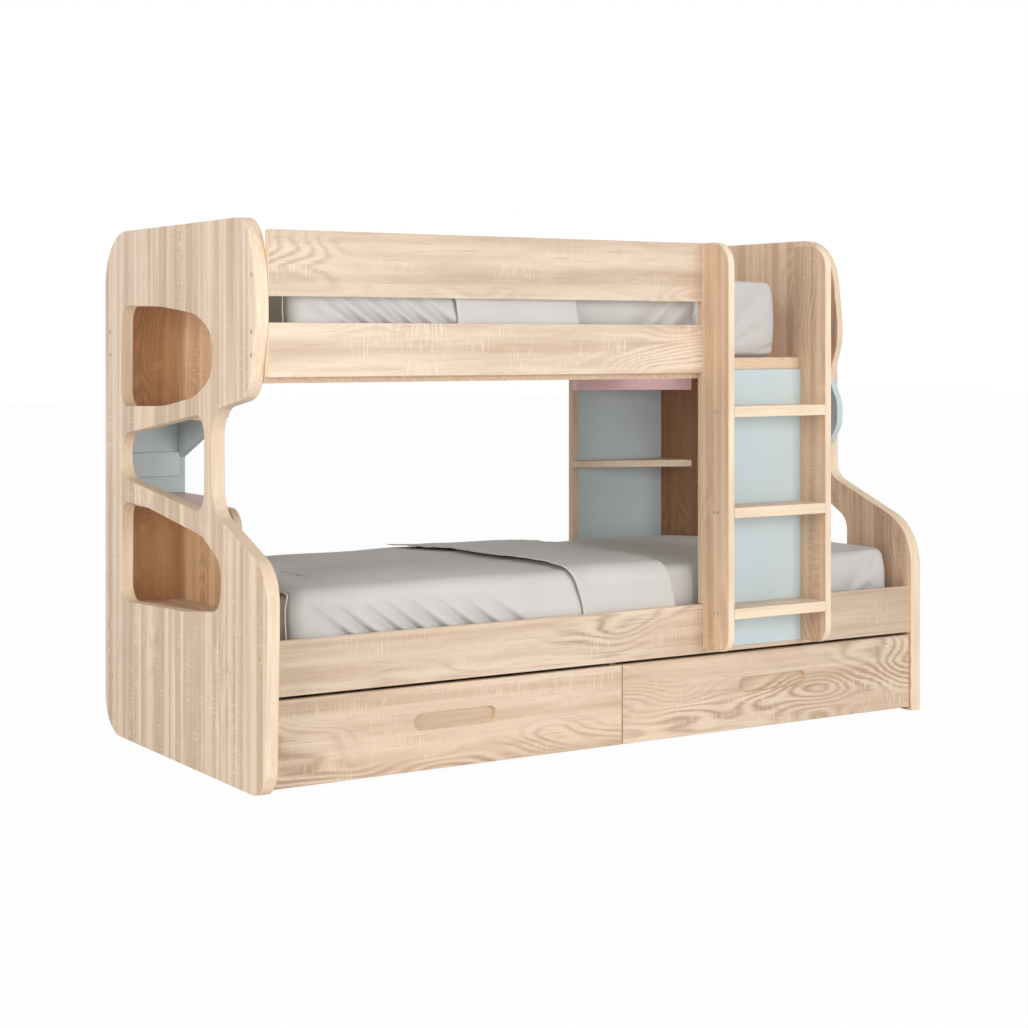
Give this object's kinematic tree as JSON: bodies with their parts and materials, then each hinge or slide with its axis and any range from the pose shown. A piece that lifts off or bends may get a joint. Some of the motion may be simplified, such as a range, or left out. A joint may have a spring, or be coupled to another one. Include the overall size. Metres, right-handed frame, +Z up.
{
  "type": "bunk bed",
  "caption": "Bunk bed with curved end boards, cut-out windows onto small shelves, a boxed ladder, sliding under-bed drawers and made-up mattresses.",
  "frame": {"origin": "on the floor, under the middle of the bed's bounding box", "axes": "+X along the bed from the end with shelves to the ladder end, +Y to the wall, +Z up"},
  "size_m": [2.196, 1.12, 1.42],
  "materials": {
    "oak_laminate": "light sawn-oak laminate, satin",
    "blue_laminate": "pale blue laminate, satin",
    "pink_laminate": "dusty pink laminate, satin",
    "slat_pine": "plain planed pine",
    "runner_steel": "zinc-coated steel",
    "mattress_cloth": "smooth grey sheet",
    "blanket_cloth": "grey satin weave"
  },
  "bodies": {
    "frame": {"left_end_panel": "oak_laminate", "right_end_panel": "oak_laminate", "guard_rail": "oak_laminate", "upper_side_rail": "oak_laminate", "lower_side_rail": "oak_laminate", "upper_back_rail": "oak_laminate", "lower_back_rail": "oak_laminate", "ladder_left_stile": "oak_laminate", "ladder_right_stile": "oak_laminate", "ladder_step_1": "oak_laminate", "ladder_step_2": "oak_laminate", "ladder_step_3": "oak_laminate", "entry_rail": "oak_laminate", "ladder_back_panel": "blue_laminate", "lower_niche_floor": "oak_laminate", "middle_niche_floor": "pink_laminate", "upper_niche_floor": "oak_laminate", "upper_niche_top": "oak_laminate", "lower_niche_wall": "oak_laminate", "upper_niche_wall": "oak_laminate", "lower_niche_back": "oak_laminate", "upper_niche_back": "oak_laminate", "middle_niche_back": "blue_laminate", "middle_niche_valance": "blue_laminate", "corner_shelf": "oak_laminate", "corner_top": "pink_laminate", "corner_side": "oak_laminate", "corner_back": "blue_laminate", "inner_wall": "oak_laminate", "blue_side_wall": "blue_laminate", "corner_wall": "oak_laminate", "right_lower_niche_floor": "oak_laminate", "right_middle_niche_floor": "pink_laminate", "right_upper_niche_floor": "oak_laminate", "right_niche_back": "oak_laminate", "centre_divider": "oak_laminate", "lower_slat_base": "slat_pine", "upper_slat_base": "slat_pine", "lower_mattress": "mattress_cloth", "upper_mattress": "mattress_cloth", "lower_blanket": "blanket_cloth", "upper_blanket": "blanket_cloth", "left_fixed_runner_left": "runner_steel", "left_fixed_runner_right": "runner_steel", "right_fixed_runner_left": "runner_steel", "right_fixed_runner_right": "runner_steel"},
    "left_drawer": {"left_drawer_front": "oak_laminate", "left_drawer_left_side": "oak_laminate", "left_drawer_right_side": "oak_laminate", "left_drawer_back": "oak_laminate", "left_drawer_bottom": "oak_laminate", "left_moving_runner_left": "runner_steel", "left_moving_runner_right": "runner_steel"},
    "right_drawer": {"right_drawer_front": "oak_laminate", "right_drawer_left_side": "oak_laminate", "right_drawer_right_side": "oak_laminate", "right_drawer_back": "oak_laminate", "right_drawer_bottom": "oak_laminate", "right_moving_runner_left": "runner_steel", "right_moving_runner_right": "runner_steel"}
  },
  "joints": [
    {"name": "left_drawer_slide", "type": "slide", "parent": "frame", "child": "left_drawer", "axis": [0, -1, 0], "range_m": [0, 0.48]},
    {"name": "right_drawer_slide", "type": "slide", "parent": "frame", "child": "right_drawer", "axis": [0, -1, 0], "range_m": [0, 0.48]}
  ]
}
